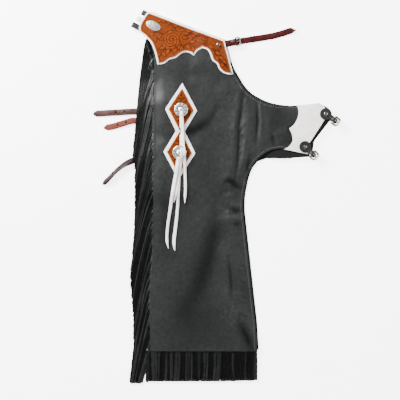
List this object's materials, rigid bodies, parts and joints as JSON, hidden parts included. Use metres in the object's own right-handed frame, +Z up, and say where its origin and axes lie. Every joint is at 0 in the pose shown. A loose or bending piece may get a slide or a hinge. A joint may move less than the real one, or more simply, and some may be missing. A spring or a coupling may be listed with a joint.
{
  "type": "chink chaps",
  "caption": "Pair of black leather chaps with a tooled yoke, double diamonds with conchos, long fringe and buckled thigh straps, folded and laid flat.",
  "frame": {"origin": "middle of the underside of the folded pair as it lies on the floor", "axes": "+X from the fringe to the inner leg, +Y from the hem up to the yoke, +Z up from the floor"},
  "size_m": [0.6472, 0.969, 0.0381],
  "materials": {
    "black_leather": "smooth grain, soft sheen",
    "white_leather": "smooth, matte",
    "tooled_leather": "carved and dyed, waxed",
    "burgundy_leather": "smooth bridle leather",
    "mauve_leather": "bridle leather, rubbed pale",
    "flesh_leather": "flesh side, napped",
    "silver": "engraved and polished",
    "nickel": "polished plate"
  },
  "bodies": {
    "root": {"right_leg_panel": "black_leather", "right_yoke_underlay": "white_leather", "right_yoke_tooled": "tooled_leather", "right_oval_plate": "silver", "right_yoke_rivet": "nickel", "right_side_fringe": "black_leather", "right_hem_fringe": "black_leather", "right_diamond_underlay": "white_leather", "right_diamond_tooled_upper": "tooled_leather", "right_diamond_tooled_lower": "tooled_leather", "right_concho_upper": "silver", "right_concho_lower": "silver", "right_thongs_upper": "white_leather", "right_thongs_lower": "white_leather", "right_thigh_patch": "white_leather", "right_buckle_tab_upper": "black_leather", "right_buckle_tab_lower": "black_leather", "right_tab_rivet_upper": "nickel", "right_tab_rivet_lower": "nickel", "right_buckle_upper": "nickel", "right_buckle_lower": "nickel", "left_leg_panel": "black_leather", "left_yoke_underlay": "white_leather", "left_yoke_tooled": "tooled_leather", "left_oval_plate": "silver", "left_yoke_rivet": "nickel", "left_side_fringe": "black_leather", "left_hem_fringe": "black_leather", "left_diamond_underlay": "white_leather", "left_diamond_tooled_upper": "tooled_leather", "left_diamond_tooled_lower": "tooled_leather", "left_concho_upper": "silver", "left_concho_lower": "silver", "left_thongs_upper": "white_leather", "left_thongs_lower": "white_leather", "left_thigh_patch": "white_leather", "left_buckle_tab_upper": "black_leather", "left_buckle_tab_lower": "black_leather", "left_tab_rivet_upper": "nickel", "left_tab_rivet_lower": "nickel", "left_buckle_upper": "nickel", "left_buckle_lower": "nickel", "right_thigh_strap_upper": "mauve_leather", "right_thigh_strap_lower": "burgundy_leather", "left_thigh_strap_upper": "flesh_leather", "left_thigh_strap_lower": "flesh_leather", "front_strap": "burgundy_leather", "front_buckle_strap": "burgundy_leather", "front_buckle": "nickel", "back_lace_upper": "black_leather", "back_lace_lower": "black_leather", "back_bridge": "white_leather"}
  },
  "joints": []
}
